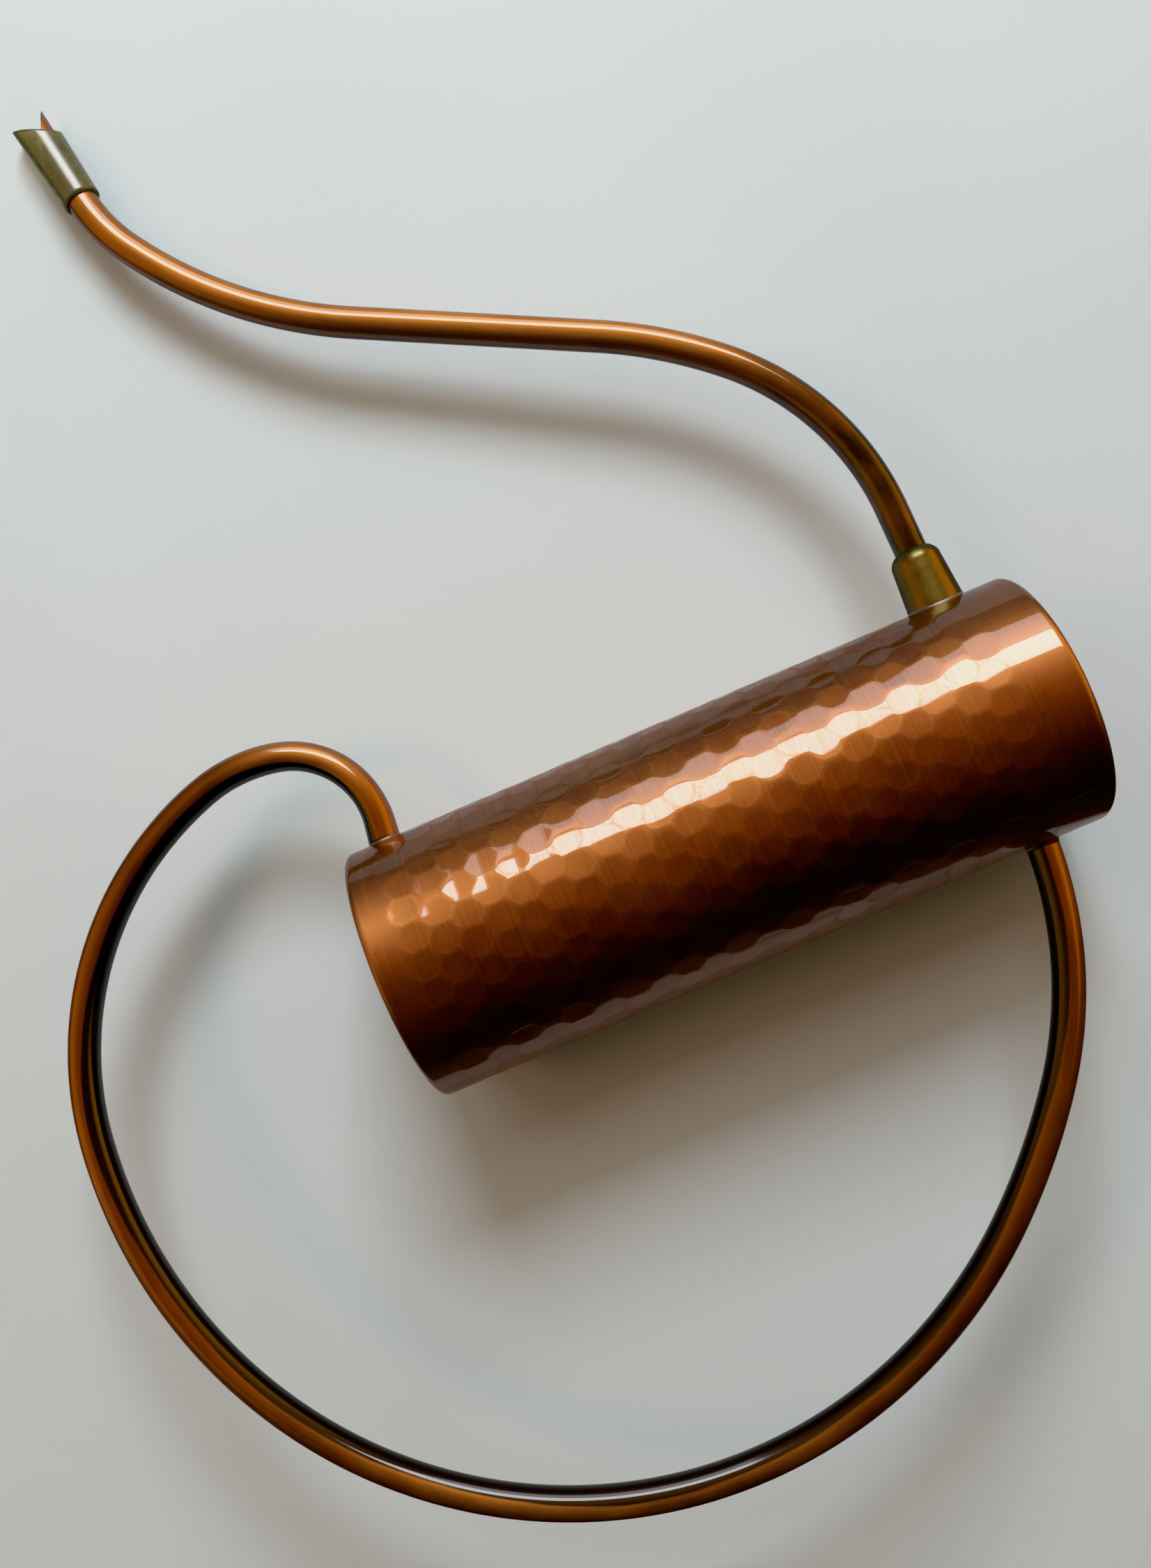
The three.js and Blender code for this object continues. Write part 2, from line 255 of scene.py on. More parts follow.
def turn_on_wall(profile, centre, heading, around, follow):
    """Rings about an axis that leaves the wall from centre at a heading in the XZ plane.

    A profile point is (radius, height). Where its height is under follow, the height is counted
    from the wall's own curve, so that the piece sits on the cylinder all the way round.
    """
    angles = np.linspace(0, 2 * np.pi, around, endpoint=False)
    profile = np.asarray(profile)
    radius, height = profile[:, :1], profile[:, 1:2]
    ahead = np.array([math.cos(heading), 0, math.sin(heading)])
    above = np.array([-math.sin(heading), 0, math.cos(heading)])
    y = radius * np.cos(angles)
    side = np.sign(centre[0])
    wall_x = side * np.sqrt((BODY_RADIUS + height) ** 2 - y**2)
    shift = (wall_x - centre[0] - radius * np.sin(angles) * above[0]) / ahead[0]
    weight = 1 - smoothstep(follow * 0.3, follow, height)
    run = shift * weight + height * (1 - weight)
    across = np.array([0, 1, 0])
    return (
        np.asarray(centre)
        + run[..., None] * ahead
        + y[..., None] * across
        + (radius * np.sin(angles))[..., None] * above
    )


# ================================================================ bent tubes
class BentPath:
    """Centre line of a bent tube in the XZ plane, from straight runs and tangent bends."""

    def __init__(self, x, z, heading, pieces):
        self.legs = []
        self.end = np.array([x, z], float)
        self.heading = math.radians(heading)
        self.total = 0.0
        for piece in pieces:
            self.extend(**piece)

    def extend(self, run=None, radius=None, sweep=0):
        turn = math.radians(sweep)
        curvature = math.copysign(1 / radius, turn) if radius else 0.0
        length = radius * abs(turn) if run is None else run
        self.legs.append((self.total, self.end, self.heading, curvature))
        self.end = self.along(self.legs[-1], length)
        self.heading += turn
        self.total += length

    @staticmethod
    def along(leg, distance):
        _, origin, heading, curvature = leg
        turn = curvature * distance
        chord = 2 * math.sin(turn / 2) / curvature if turn else distance
        direction = heading + turn / 2
        return origin + chord * np.array([math.cos(direction), math.sin(direction)])

    def at(self, distance):
        """(point, heading, curvature) at a distance along the path."""
        leg = [each for each in self.legs if each[0] <= distance + 1e-12][-1]
        past = distance - leg[0]
        return self.along(leg, past), leg[2] + leg[3] * past, leg[3]


def tube_rings(path, distances, radius, around, squeeze):
    """Rings of a tube along a path. squeeze is how much the tightest bend flattens it in plane."""
    angles = np.linspace(0, 2 * np.pi, around, endpoint=False)
    blend = np.hanning(2 * BEND_BLEND + 3)[1:-1]
    tightness = np.array([abs(path.at(d)[2]) for d in distances])
    tightness = np.convolve(np.pad(tightness, BEND_BLEND, "edge"), blend, "valid") / blend.sum()
    flat = 1 - squeeze * np.minimum(tightness * HANDLE_BENDS[1]["radius"], 1)
    rings = np.empty((len(distances), around, 3))
    for i, distance in enumerate(distances):
        (x, z), heading, _ = path.at(distance)
        up = radius * flat[i] * np.sin(angles)
        rings[i, :, 0] = x - math.sin(heading) * up
        rings[i, :, 1] = radius * np.cos(angles)
        rings[i, :, 2] = z + math.cos(heading) * up
    return rings


def tube_space(distances, radius, around):
    """Coordinates that follow a tube, for its drawn lines: two across it, then one along it."""
    angles = np.linspace(0, 2 * np.pi, around, endpoint=False)
    return np.stack(
        [
            np.repeat(radius * np.cos(angles)[None], len(distances), 0),
            np.repeat(radius * np.sin(angles)[None], len(distances), 0),
            np.repeat(np.asarray(distances)[:, None], around, 1),
        ],
        -1,
    ).reshape(-1, 3)


HANDLE = BentPath(BODY_RADIUS, HANDLE_TOP, HANDLE_HEADING, HANDLE_BENDS)
SPOUT = BentPath(SPOUT_START, SPOUT_HEIGHT, 0, SPOUT_BENDS)
TIP_START = SPOUT.total
TIP_POINT = SPOUT.end.copy()
TIP_HEADING = SPOUT.heading
SPOUT.extend(run=TIP_LENGTH + 2 * MM)


# ================================================================ node material helpers
class Nodes:
    """A short way to write a material's nodes."""

    def __init__(self, name):
        self.material = bpy.data.materials.new(name)
        self.material.use_nodes = True
        self.tree = self.material.node_tree
        self.shader = self.tree.nodes["Principled BSDF"]

    def add(self, kind, settings=None, **inputs):
        node = self.tree.nodes.new(kind)
        for key, value in (settings or {}).items():
            setattr(node, key, value)
        for key, value in inputs.items():
            self.put(node, key.replace("_", " "), value)
        return node

    def put(self, node, socket, value):
        target = node.inputs[int(socket) if socket.isdigit() else socket]
        if isinstance(value, bpy.types.NodeSocket):
            self.tree.links.new(value, target)
        else:
            target.default_value = value

    def shade(self, **inputs):
        for key, value in inputs.items():
            self.put(self.shader, key.replace("_", " "), value)

    def math(self, operation, a, b=0.0):
        node = self.add("ShaderNodeMath", {"operation": operation})
        self.put(node, "0", a)
        self.put(node, "1", b)
        return node.outputs[0]

    def scaled(self, vector, scale):
        node = self.add("ShaderNodeMapping")
        self.put(node, "Vector", vector)
        node.inputs["Scale"].default_value = scale
        return node.outputs["Vector"]

    def noise(self, vector, scale, detail=4.0, roughness=0.55):
        node = self.add("ShaderNodeTexNoise", Scale=scale, Detail=detail, Roughness=roughness)
        self.put(node, "Vector", vector)
        return node.outputs["Fac"]

    def ramp(self, value, *stops):
        node = self.add("ShaderNodeValToRGB")
        elements = node.color_ramp.elements
        while len(elements) < len(stops):
            elements.new(0.5)
        for element, (place, colour) in zip(elements, stops):
            element.position = place
            element.color = (*colour, 1) if len(colour) == 3 else colour
        self.put(node, "Fac", value)
        return node.outputs["Color"]

    def level(self, value, low, high, start=0.0, end=1.0):
        node = self.add("ShaderNodeMapRange")
        for socket, number in zip(("From Min", "From Max", "To Min", "To Max"), (start, end, low, high)):
            node.inputs[socket].default_value = number
        self.put(node, "Value", value)
        return node.outputs["Result"]

    def mix(self, factor, a, b, blend="MIX"):
        node = self.add("ShaderNodeMix", {"data_type": "RGBA", "blend_type": blend})
        self.put(node, "0", factor)
        self.put(node, "6", a)
        self.put(node, "7", b)
        return node.outputs[2]

    def bump(self, height, strength, distance, normal=None):
        node = self.add("ShaderNodeBump", Strength=strength, Distance=distance)
        self.put(node, "Height", height)
        if normal is not None:
            self.put(node, "Normal", normal)
        return node.outputs["Normal"]


COPPER = (0.41, 0.120, 0.026, 1)
COPPER_DARK = (0.28, 0.074, 0.013, 1)
BROWN = (0.240, 0.096, 0.026, 1)
BROWN_DARK = (0.170, 0.060, 0.013, 1)
BROWN_PALE = (0.330, 0.148, 0.052, 1)
TUBE_BROWN = (0.29, 0.120, 0.016, 1)
TUBE_DARK = (0.19, 0.072, 0.010, 1)
TUBE_PALE = (0.36, 0.14, 0.035, 1)
OXIDE = (0.008, 0.004, 0.002, 1)
BRASS = (0.150, 0.128, 0.024, 1)
BRASS_DARK = (0.088, 0.075, 0.013, 1)
CARD_WHITE = (0.87, 0.925, 0.897, 1)
CARD_SHADE = (0.84, 0.895, 0.872, 1)
PAST_CARD = (0.004, 0.002, 0.001, 1)


def hammered_copper():
    """Lacquered copper with fine brush lines that run round the cylinder."""
    n = Nodes("hammered_copper")
    place = n.add("ShaderNodeTexCoord").outputs["Object"]
    lines = n.noise(n.scaled(place, (12, 12, 2600)), 1.0, 3.0, 0.6)
    streaks = n.noise(n.scaled(place, (30, 30, 700)), 1.0, 2.0, 0.5)
    cloud = n.noise(place, 45.0, 5.0, 0.6)
    stain = n.noise(place, 16.0, 3.0, 0.5)
    specks = n.add("ShaderNodeTexVoronoi", {"feature": "F1"}, Scale=120.0)
    n.put(specks, "Vector", place)
    speck = n.math("LESS_THAN", specks.outputs["Distance"], 0.045)
    colour = n.mix(n.level(cloud, 0.0, 1.0, 0.35, 0.68), BROWN_DARK, BROWN)
    colour = n.mix(n.level(stain, 0.0, 0.55, 0.45, 0.75), colour, BROWN_PALE)
    colour = n.mix(n.level(lines, 0.0, 0.45, 0.45, 0.8), colour, BROWN_PALE)
    colour = n.mix(n.math("MULTIPLY", speck, 0.6), colour, (0.05, 0.018, 0.008, 1))
    # painted highlight: the creases between dents get a paler copper line, broken up by noise, for the
    # light the ridges catch; the coat is also thinned along them
    crease = n.add("ShaderNodeAttribute", {"attribute_name": "crease"}).outputs["Fac"]
    ridge_highlight_mask = n.math("MULTIPLY", crease, n.level(n.noise(place, 260.0, 3.0, 0.6), 0.1, 0.6, 0.35, 0.65))
    colour = n.mix(ridge_highlight_mask, colour, (0.34, 0.165, 0.06, 1))
    n.shade(Base_Color=colour, Metallic=1.0, Anisotropic=0.6)
    n.shade(Specular_Tint=(0.85, 0.42, 0.22, 1))
    tangent = n.add("ShaderNodeTangent", {"direction_type": "RADIAL", "axis": "Z"}).outputs[0]
    n.shade(Tangent=tangent, Anisotropic_Rotation=0.25)
    rough = n.math("ADD", n.level(lines, 0.44, 0.54, 0.3, 0.75), n.level(cloud, -0.03, 0.03, 0.3, 0.7))
    n.shade(Roughness=rough)
    relief = n.math("ADD", lines, n.math("MULTIPLY", streaks, 0.6))
    n.shade(Normal=n.bump(relief, 0.16, 0.00006))
    clear = n.level(lines, 0.72, 1.0, 0.35, 0.65)
    coat_thinned_on_ridges = n.level(ridge_highlight_mask, 1.0, 0.35, 0.05, 0.5)
    n.shade(Coat_Weight=n.math("MULTIPLY", clear, coat_thinned_on_ridges), Coat_Roughness=0.04, Coat_IOR=1.58)
    n.shade(Coat_Normal=n.bump(n.math("ADD", lines, n.math("MULTIPLY", cloud, 0.4)), 0.07, 0.00006))
    return n.material


def base_copper():
    """Plain copper with turning lines, for the base and the inside."""
    n = Nodes("base_copper")
    place = n.add("ShaderNodeTexCoord").outputs["Object"]
    radial = n.add("ShaderNodeVectorMath", {"operation": "LENGTH"})
    n.put(radial, "0", n.scaled(place, (1, 1, 0)))
    rings = n.add("ShaderNodeTexNoise", {"noise_dimensions": "1D"}, W=0.0, Scale=2200.0, Detail=2.0)
    n.put(rings, "W", radial.outputs["Value"])
    cloud = n.noise(place, 60.0, 5.0, 0.6)
    colour = n.mix(n.level(cloud, 0.0, 1.0, 0.3, 0.7), COPPER_DARK, COPPER)
    n.shade(Base_Color=colour, Metallic=1.0)
    n.shade(Roughness=n.level(cloud, 0.28, 0.42, 0.3, 0.7))
    n.shade(Normal=n.bump(rings.outputs["Fac"], 0.12, 0.00006))
    return n.material


def tube_copper():
    """Lacquered copper tube with drawn lines along it, oxide inside the loop, heat stain, and a darker
    upper side on the spout.
    """
    n = Nodes("tube_copper")
    space = n.add("ShaderNodeAttribute", {"attribute_name": "tube_space"}).outputs["Vector"]
    drawn = n.noise(n.scaled(space, (1400, 1400, 9)), 1.0, 2.0, 0.5)
    cloud = n.noise(n.scaled(space, (90, 90, 40)), 1.0, 5.0, 0.6)
    scuff = n.noise(n.scaled(space, (500, 500, 60)), 1.0, 4.0, 0.65)
    colour = n.mix(n.level(cloud, 0.0, 1.0, 0.35, 0.68), TUBE_DARK, TUBE_BROWN)
    colour = n.mix(n.level(drawn, 0.0, 0.35, 0.45, 0.8), colour, TUBE_PALE)
    colour = n.mix(n.level(scuff, 0.0, 0.4, 0.62, 0.75), colour, TUBE_PALE)
    stain = n.add("ShaderNodeAttribute", {"attribute_name": "stain"}).outputs["Fac"]
    stained = n.level(n.math("ADD", stain, cloud), 0.0, 1.0, 0.8, 1.3)
    colour = n.mix(stained, colour, OXIDE)
    n.shade(Base_Color=colour, Metallic=1.0, Specular_Tint=(0.05, 0.03, 0.02, 1))
    along = n.add("ShaderNodeAttribute", {"attribute_name": "tube_along"}).outputs["Vector"]
    n.shade(Tangent=along, Anisotropic=0.75, Anisotropic_Rotation=0.25)
    rough = n.math("ADD", n.level(cloud, 0.42, 0.52, 0.35, 0.7), n.level(scuff, 0.0, 0.06, 0.55, 0.75))
    n.shade(Roughness=rough)
    relief = n.math("ADD", n.math("MULTIPLY", drawn, 0.5), scuff)
    n.shade(Normal=n.bump(relief, 0.12, 0.00005))
    n.shade(Coat_Weight=1.0, Coat_Roughness=0.09, Coat_IOR=1.5)
    return n.material


def aged_brass():
    """Turned brass gone olive with age."""
    n = Nodes("aged_brass")
    place = n.add("ShaderNodeTexCoord").outputs["Object"]
    turned = n.noise(n.scaled(place, (2200, 25, 25)), 1.0, 2.0, 0.5)
    cloud = n.noise(place, 160.0, 5.0, 0.65)
    patina = n.noise(place, 420.0, 4.0, 0.6)
    colour = n.mix(n.level(cloud, 0.0, 1.0, 0.25, 0.75), BRASS_DARK, BRASS)
    colour = n.mix(n.level(patina, 0.0, 0.5, 0.55, 0.75), colour, (0.05, 0.045, 0.015, 1))
    n.shade(Base_Color=colour, Metallic=1.0, Specular_Tint=(0.06, 0.05, 0.03, 1))
    n.shade(Roughness=n.level(cloud, 0.32, 0.42, 0.3, 0.7))
    n.shade(Normal=n.bump(n.math("ADD", turned, patina), 0.12, 0.00006))
    n.shade(Coat_Weight=0.3, Coat_Roughness=0.22)
    return n.material


def solder():
    """Bright solder, slightly lumpy, with copper showing through in places."""
    n = Nodes("solder")
    place = n.add("ShaderNodeTexCoord").outputs["Object"]
    lumps = n.noise(place, 900.0, 3.0, 0.5)
    cloud = n.noise(place, 300.0, 4.0, 0.6)
    colour = n.mix(n.level(cloud, 0.0, 1.0, 0.55, 0.75), (0.22, 0.19, 0.155, 1), (0.18, 0.10, 0.055, 1))
    n.shade(Base_Color=colour, Metallic=1.0)
    n.shade(Roughness=n.level(lumps, 0.34, 0.5, 0.3, 0.7))
    n.shade(Normal=n.bump(lumps, 0.35, 0.00015))
    return n.material


def sleeve_plastic():
    """Soft olive plastic that light passes through."""
    n = Nodes("sleeve_plastic")
    place = n.add("ShaderNodeTexCoord").outputs["Object"]
    cloud = n.noise(place, 220.0, 4.0, 0.6)
    colour = n.mix(n.level(cloud, 0.0, 1.0, 0.3, 0.7), (0.26, 0.27, 0.10, 1), (0.36, 0.36, 0.16, 1))
    n.shade(Base_Color=colour, Transmission_Weight=0.75, IOR=1.45)
    n.shade(Roughness=n.level(cloud, 0.20, 0.30, 0.3, 0.7))
    n.shade(Normal=n.bump(cloud, 0.1, 0.0001))
    return n.material


MATERIALS = {
    "hammered_copper": hammered_copper(),
    "base_copper": base_copper(),
    "tube_copper": tube_copper(),
    "aged_brass": aged_brass(),
    "solder": solder(),
    "sleeve_plastic": sleeve_plastic(),
}


# ================================================================ the can's pieces
def dent_depths(angles, heights):
    """How far each point of the wall is hammered in, by the deepest of the dishes that reach it.

    The second array is by how much it beats the next one, which is nothing along a crease.
    """
    rng = np.random.default_rng(DENT_SEED)
    depth = np.zeros((len(heights), len(angles)))
    second = np.full_like(depth, -1.0)
    for column in range(DENT_COLUMNS):
        centre_z = DENT_FIRST - column * DENT_PITCH
        for row in range(DENTS_ROUND):
            turn = 2 * math.pi * (row + 0.5 * (column % 2)) / DENTS_ROUND
            shift_round, shift_along, deeper, lean_round, lean_along = rng.normal(0, 1, 5)
            centre = DENT_PHASE + turn + DENT_SHIFT * shift_round / BODY_RADIUS
            away = turned_by(angles, centre) * BODY_RADIUS / DENT_HALF_ROUND
            along = (heights - centre_z - DENT_SHIFT * shift_along) / DENT_HALF_ALONG
            near_z = np.nonzero(np.abs(along) < DENT_REACH)[0]
            near_a = np.nonzero(np.abs(away) < DENT_REACH)[0]
            s, t = away[None, near_a], along[near_z, None]
            dish = (1 - s**2 - t**2) * DENT_DEPTH * (1 + DENT_UNEVEN * deeper)
            dish = dish + DENT_LEAN * (lean_round * s + lean_along * t)
            window = np.ix_(near_z, near_a)
            second[window] = np.maximum(second[window], np.minimum(depth[window], dish))
            depth[window] = np.maximum(depth[window], dish)
    lead = depth - np.maximum(second, 0)
    depth = depth + np.maximum(CREASE_ROUND - lead, 0) ** 2 / (4 * CREASE_ROUND) * (depth > 0)
    return depth, lead


def joint_fade(angles, heights):
    """0 next to the soldered joints and 1 away from them."""
    fade = np.ones((len(heights), len(angles)))
    rear = float(HANDLE.end[1])
    for joint_angle, joint_z, room in (
        (0, HANDLE_TOP, TUBE_RADIUS),
        (0, SPOUT_HEIGHT, FERRULE_FOOT),
        (math.pi, rear, TUBE_RADIUS),
    ):
        across = turned_by(angles, joint_angle) * BODY_RADIUS
        distance = np.hypot(heights[:, None] - joint_z, across[None, :]) - room
        fade = fade * smoothstep(*JOINT_SMOOTH, distance)
    return fade


def body_shell():
    """The hammered cylinder with its edges turned in, as one closed skin."""
    around = DENTS_ROUND * SAMPLES_PER_DENT
    angles = np.linspace(0, 2 * np.pi, around, endpoint=False)
    inner = BODY_RADIUS - WALL
    land = BODY_RADIUS - BASE_CORNER
    lip_r, lip_z = BODY_RADIUS - LIP_CORNER, BODY_HEIGHT - LIP_CORNER
    step = DENT_PITCH / SAMPLES_PER_DENT
    wall_z = np.linspace(BASE_CORNER, lip_z, round((lip_z - BASE_CORNER) / step))
    inside_z = np.linspace(lip_z, BASE_CORNER, INSIDE_STATIONS)
    outer_wall = np.stack([np.full(len(wall_z), BODY_RADIUS), wall_z], -1)
    inner_wall = np.stack([np.full(len(inside_z), inner), inside_z], -1)
    half = WALL / 2
    parts = [
        arc(land, BASE_CORNER, BASE_CORNER, -90, 0, 8)[:-1],
        outer_wall,
        arc(lip_r, lip_z, LIP_CORNER, 0, 90, 8)[1:],
        arc(lip_r - LIP_WIDTH, BODY_HEIGHT - half, half, 90, 270, 6),
        arc(lip_r, lip_z, LIP_CORNER - WALL, 90, 0, 4)[:-1],
        inner_wall,
        arc(land, BASE_CORNER, BASE_CORNER - WALL, 0, -90, 4)[1:],
    ]
    profile = np.concatenate(parts)
    depth = np.zeros((len(profile), around))
    crease = np.zeros_like(depth)
    outside = slice(len(parts[0]), len(parts[0]) + len(wall_z))
    hammered, lead = dent_depths(angles, wall_z)
    fade = joint_fade(angles, wall_z)
    depth[outside] = hammered * fade
    crease[outside] = np.exp(-((lead / CREASE_LEAD) ** 2)) * (hammered > 0) * fade
    start = len(profile) - len(parts[6]) - len(inside_z)
    inside = slice(start, start + len(inside_z))
    depth[inside] = INSIDE_DENTS * dent_depths(angles, inside_z)[0] * joint_fade(angles, inside_z)
    radius = profile[:, :1] - depth
    heights = np.repeat(profile[:, 1:2], around, 1)
    rings = np.stack([radius * np.cos(angles), radius * np.sin(angles), heights], -1)
    piece = finish_piece("shell", rings, "body_shell", "hammered_copper")
    # the crease layer carries the painted ridge highlight to the material
    ridge_highlight_layer = piece.data.attributes.new("crease", "FLOAT", "POINT")
    ridge_highlight_layer.data.foreach_set("value", crease.ravel().astype(np.float32))
    drill_port(piece)


def drill_port(shell):
    """Cuts the hole that the spout comes through."""
    reach = 4 * WALL
    bpy.ops.mesh.primitive_cylinder_add(
        vertices=48,
        radius=TUBE_RADIUS + 0.1 * MM,
        depth=reach,
        location=(BODY_RADIUS - WALL / 2, 0, SPOUT_HEIGHT),
        rotation=(0, math.pi / 2, 0),
    )
    drill = bpy.context.object
    cut = shell.modifiers.new("port", "BOOLEAN")
    cut.operation = "DIFFERENCE"
    cut.solver = "EXACT"
    cut.object = drill
    graph = bpy.context.evaluated_depsgraph_get()
    cut_mesh = bpy.data.meshes.new_from_object(shell.evaluated_get(graph))
    shell.modifiers.clear()
    shell.data = cut_mesh
    bpy.data.objects.remove(drill)


def base_plate():
    """The disc that closes the bottom, its edge slightly rounded."""
    edge = PLATE_RADIUS - PLATE_EDGE
    under = np.linspace(4 * MM, edge, 14)
    over = np.linspace(PLATE_RADIUS - 2 * MM, PLATE_HUB, 14)
    profile = np.concatenate(
        [
            [(PLATE_HUB, 0)],
            np.stack([under, np.zeros_like(under)], -1),
            arc(edge, PLATE_EDGE, PLATE_EDGE, -90, 0, 4)[1:],
            arc(edge, WALL - PLATE_EDGE, PLATE_EDGE, 0, 90, 4),
            np.stack([over, np.full_like(over, WALL)], -1),
        ]
    )
    finish_piece("base_disc", turn_round_z(profile, 144), "base_plate", "base_copper", closed=False)


def base_seam():
    """Solder between the base disc and the shell's turned-in edge."""
    inner = PLATE_RADIUS + SEAM_GAP
    outer = BODY_RADIUS - BASE_CORNER - SEAM_GAP
    lap = inner - 1.1 * MM
    profile = rounded(
        [
            (inner, 0.12 * MM),
            (outer, 0.12 * MM),
            (outer, WALL + 1.0 * MM),
            (lap, WALL + 0.25 * MM),
            (lap, WALL + SEAM_GAP),
            (inner, WALL + SEAM_GAP),
        ],
        0.25 * MM,
    )
    finish_piece("base_seam", turn_round_z(profile, 144), "base_solder_seam", "solder")


def wear_tube(piece, path, distances, around, stain):
    """Gives a tube the way along it, for its drawn lines, and how much each point is darkened by stain,
    oxide and the spout's darker upper side.
    """
    headings = np.array([path.at(d)[1] for d in distances])
    along = np.stack([np.cos(headings), np.zeros(len(distances)), np.sin(headings)], -1)
    ways = piece.data.attributes.new("tube_along", "FLOAT_VECTOR", "POINT")
    ways.data.foreach_set("vector", np.repeat(along, around, 0).ravel().astype(np.float32))
    stains = piece.data.attributes.new("stain", "FLOAT", "POINT")
    stains.data.foreach_set("value", stain.ravel().astype(np.float32))


def turned_from_left(around):
    """How far each side of a tube is turned from the side to the left of its path."""
    angles = np.linspace(0, 2 * np.pi, around, endpoint=False)
    return np.abs(turned_by(angles[None], np.pi / 2))


def handle():
    """The looped handle, flattened a little in its tightest bend, its ends let into the wall.

    Its left is the inner side of the loop, where it is black with oxide.
    """
    around = 40
    heading = math.radians(HANDLE_HEADING)
    path = BentPath(
        BODY_RADIUS - HANDLE_SINK * math.cos(heading),
        HANDLE_TOP - HANDLE_SINK * math.sin(heading),
        HANDLE_HEADING,
        [{"run": HANDLE_SINK}, *HANDLE_BENDS, {"run": HANDLE_SINK}],
    )
    distances = np.linspace(0, path.total, 440)
    rings = tube_rings(path, distances, TUBE_RADIUS, around, BEND_FLATTENING)
    space = tube_space(distances, TUBE_RADIUS, around)
    piece = finish_piece("handle", rings, "handle_tube", "tube_copper", closed=False, space=space)
    sway = sum(
        math.radians(degrees) * np.sin(distances / length)
        for degrees, length in ((8, 38 * MM), (5, 17 * MM))
    )
    turned = turned_from_left(around) + sway[:, None]
    stain = smoothstep(OXIDE_EDGE + OXIDE_BLUR, OXIDE_EDGE - OXIDE_BLUR, turned)
    wear_tube(piece, path, distances, around, stain)


def quill_reach(above):
    """Where the quill cut crosses a line at a height above the tip's axis."""
    (x0, p0), (x1, p1), (x2, p2) = QUILL_CURVE
    a, b, c = p0 - 2 * p1 + p2, 2 * (p1 - p0), p0 - above
    t = (-b - np.sqrt(b * b - 4 * a * c)) / (2 * a)
    return (1 - t) ** 2 * x0 + 2 * t * (1 - t) * x1 + t * t * x2


def spout_skin(radius, around):
    """Rings of one wall of the spout, out to the quill cut, and how far along each ring is."""
    angles = np.linspace(0, 2 * np.pi, around, endpoint=False)
    swept = np.linspace(0, TIP_START, 230)
    rings = tube_rings(SPOUT, swept, radius, around, SPOUT_FLATTENING)
    reach = quill_reach(radius * np.sin(angles))
    ahead = np.array([math.cos(TIP_HEADING), 0, math.sin(TIP_HEADING)])
    shares = np.linspace(0, 1, 40)[1:]
    tip = rings[-1][None] + shares[:, None, None] * reach[None, :, None] * ahead
    mean_reach = swept[-1] + shares * reach.mean()
    return np.concatenate([rings, tip]), np.concatenate([swept, mean_reach])


def spout():
    """The swan-neck tube, open from the wall to its quill-cut tip."""
    around = 48
    outer, outer_s = spout_skin(TUBE_RADIUS, around)
    inner, inner_s = spout_skin(BORE_RADIUS, around)
    rings = np.concatenate([outer, inner[::-1]])
    space = np.concatenate(
        [tube_space(outer_s, TUBE_RADIUS, around), tube_space(inner_s[::-1], BORE_RADIUS, around)]
    )
    piece = finish_piece("spout", rings, "spout_tube", "tube_copper", space=space)
    distances = np.concatenate([outer_s, inner_s[::-1]])
    # the spout's upper side is made darker
    upper = 0.45 * smoothstep(*UPPER_DARKENING, turned_from_left(around))
    foot = 0.74 * smoothstep(*HEAT_STAIN[::-1], distances)
    end = 0.45 * smoothstep(TIP_START - TIP_STAIN[0], TIP_START - TIP_STAIN[1], distances)
    stain = np.maximum(upper, (foot + end)[:, None])
    wear_tube(piece, SPOUT, distances, around, stain)
    edges = piece.modifiers.new("edges", "WEIGHTED_NORMAL")
    edges.keep_sharp = True


def ferrule():
    """The brass bell at the spout's foot, sitting on the curve of the wall."""
    crown = FERRULE_LENGTH - FERRULE_CROWN * math.sin(math.radians(60))
    mouth = TUBE_RADIUS + 0.05 * MM
    rim = FERRULE_SHOULDER - FERRULE_CROWN
    flank = np.linspace(0.06, 0.97, 12)
    profile = np.concatenate(
        [
            [(mouth, -0.3 * MM), (FERRULE_FOOT - 0.1 * MM, -0.3 * MM), (FERRULE_FOOT, 0.1 * MM)],
            np.stack([FERRULE_FOOT + (FERRULE_SHOULDER - FERRULE_FOOT) * flank, flank * crown], -1),
            arc(rim, crown, FERRULE_CROWN, 0, 62, 12),
            [(mouth + 0.1 * MM, FERRULE_LENGTH - 0.02 * MM), (mouth, FERRULE_LENGTH - 0.3 * MM)],
        ]
    )
    rings = turn_on_wall(profile, (BODY_RADIUS, 0, SPOUT_HEIGHT), 0, 64, 8 * MM)
    finish_piece("ferrule", rings, "spout_ferrule", "aged_brass")


def solder_ring(name, node, centre, heading, bar):
    """A hollow-faced fillet of solder round a bar of some radius that stands on the wall."""
    out = bar + SOLDER_WIDTH + SOLDER_EDGE
    up = SOLDER_HEIGHT + SOLDER_EDGE
    root = bar - SOLDER_ROOT
    face = [
        (out - SOLDER_WIDTH * math.sin(a), up - SOLDER_HEIGHT * math.cos(a))
        for a in np.linspace(0, np.pi / 2, 6)
    ]
    profile = [(root, -SOLDER_ROOT), (bar + SOLDER_WIDTH, -SOLDER_ROOT), *face, (root, up)]
    finish_piece(name, turn_on_wall(profile, centre, heading, 96, 10 * MM), node, "solder")


